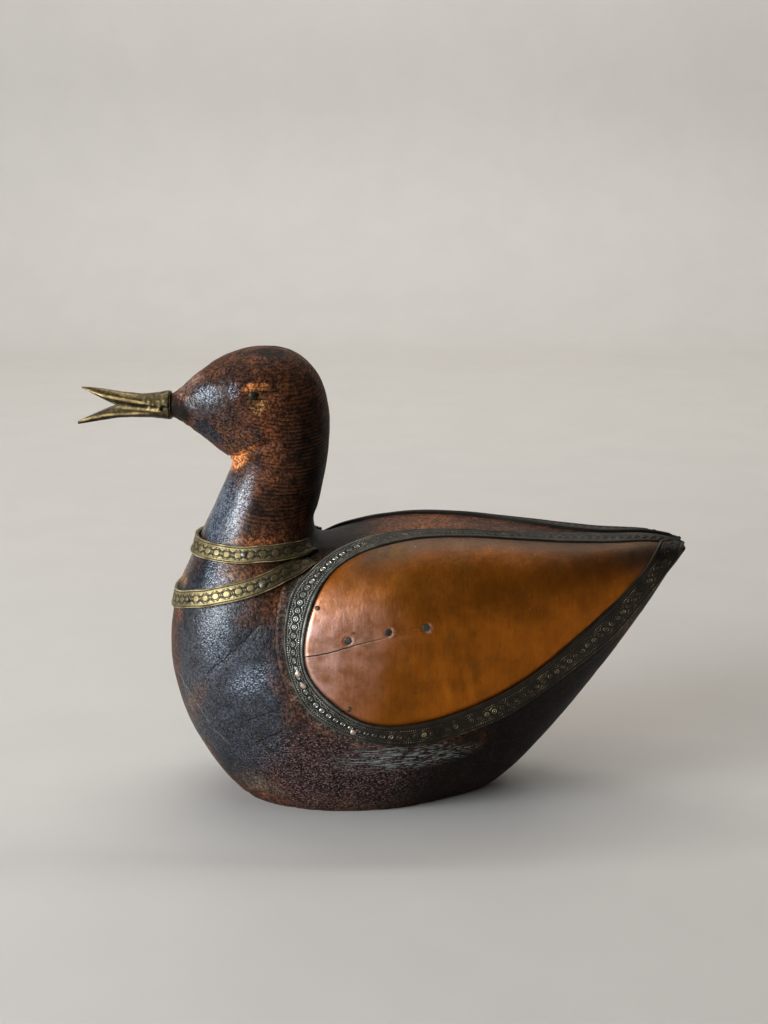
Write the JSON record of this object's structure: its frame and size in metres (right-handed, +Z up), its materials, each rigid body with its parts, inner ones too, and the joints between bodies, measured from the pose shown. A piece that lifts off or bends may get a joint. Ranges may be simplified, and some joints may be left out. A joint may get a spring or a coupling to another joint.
{
  "type": "carved wooden duck",
  "caption": "Carved wooden duck ornament with copper wing panels, embossed metal strips, brass neck bands and an open brass beak; it stands on its flat underside.",
  "frame": {"origin": "on the ground under the middle of the whole duck, between beak tip and tail end", "axes": "-X towards the beak, +X towards the tail, -Y towards the duck's left side, +Z up"},
  "size_m": [0.2486, 0.0922, 0.1872],
  "materials": {
    "wood": "dark worn patina, satin to glossy, with open grain",
    "copper": "aged copper sheet, satin, with dents and fine scratches",
    "strip_metal": "dark grey-green patina with rubbed bright points",
    "band_brass": "aged embossed brass with dark recesses",
    "beak_brass": "aged cast brass",
    "tack_brass": "dull tarnished",
    "nail_steel": "flat dark nail head"
  },
  "bodies": {
    "root": {"body": "wood", "wing_panel_left": "copper", "wing_panel_right": "copper", "wing_border_left": "strip_metal", "wing_border_right": "strip_metal", "neck_band_upper": "band_brass", "neck_band_lower": "band_brass", "beak": "beak_brass", "panel_nail_1_left": "nail_steel", "panel_nail_1_right": "nail_steel", "panel_nail_2_left": "nail_steel", "panel_nail_2_right": "nail_steel", "panel_nail_3_left": "nail_steel", "panel_nail_3_right": "nail_steel", "edge_tack_1_left": "tack_brass", "edge_tack_1_right": "tack_brass", "edge_tack_2_left": "tack_brass", "edge_tack_2_right": "tack_brass", "border_tack_1_left": "tack_brass", "border_tack_1_right": "tack_brass", "border_tack_2_left": "tack_brass", "border_tack_2_right": "tack_brass", "border_tack_3_left": "tack_brass", "border_tack_3_right": "tack_brass", "upper_band_tack_left": "tack_brass", "upper_band_tack_right": "tack_brass", "lower_band_tack_1_left": "tack_brass", "lower_band_tack_1_right": "tack_brass", "lower_band_tack_2_left": "tack_brass", "lower_band_tack_2_right": "tack_brass", "eye_left": "tack_brass", "eye_right": "tack_brass"}
  },
  "joints": []
}
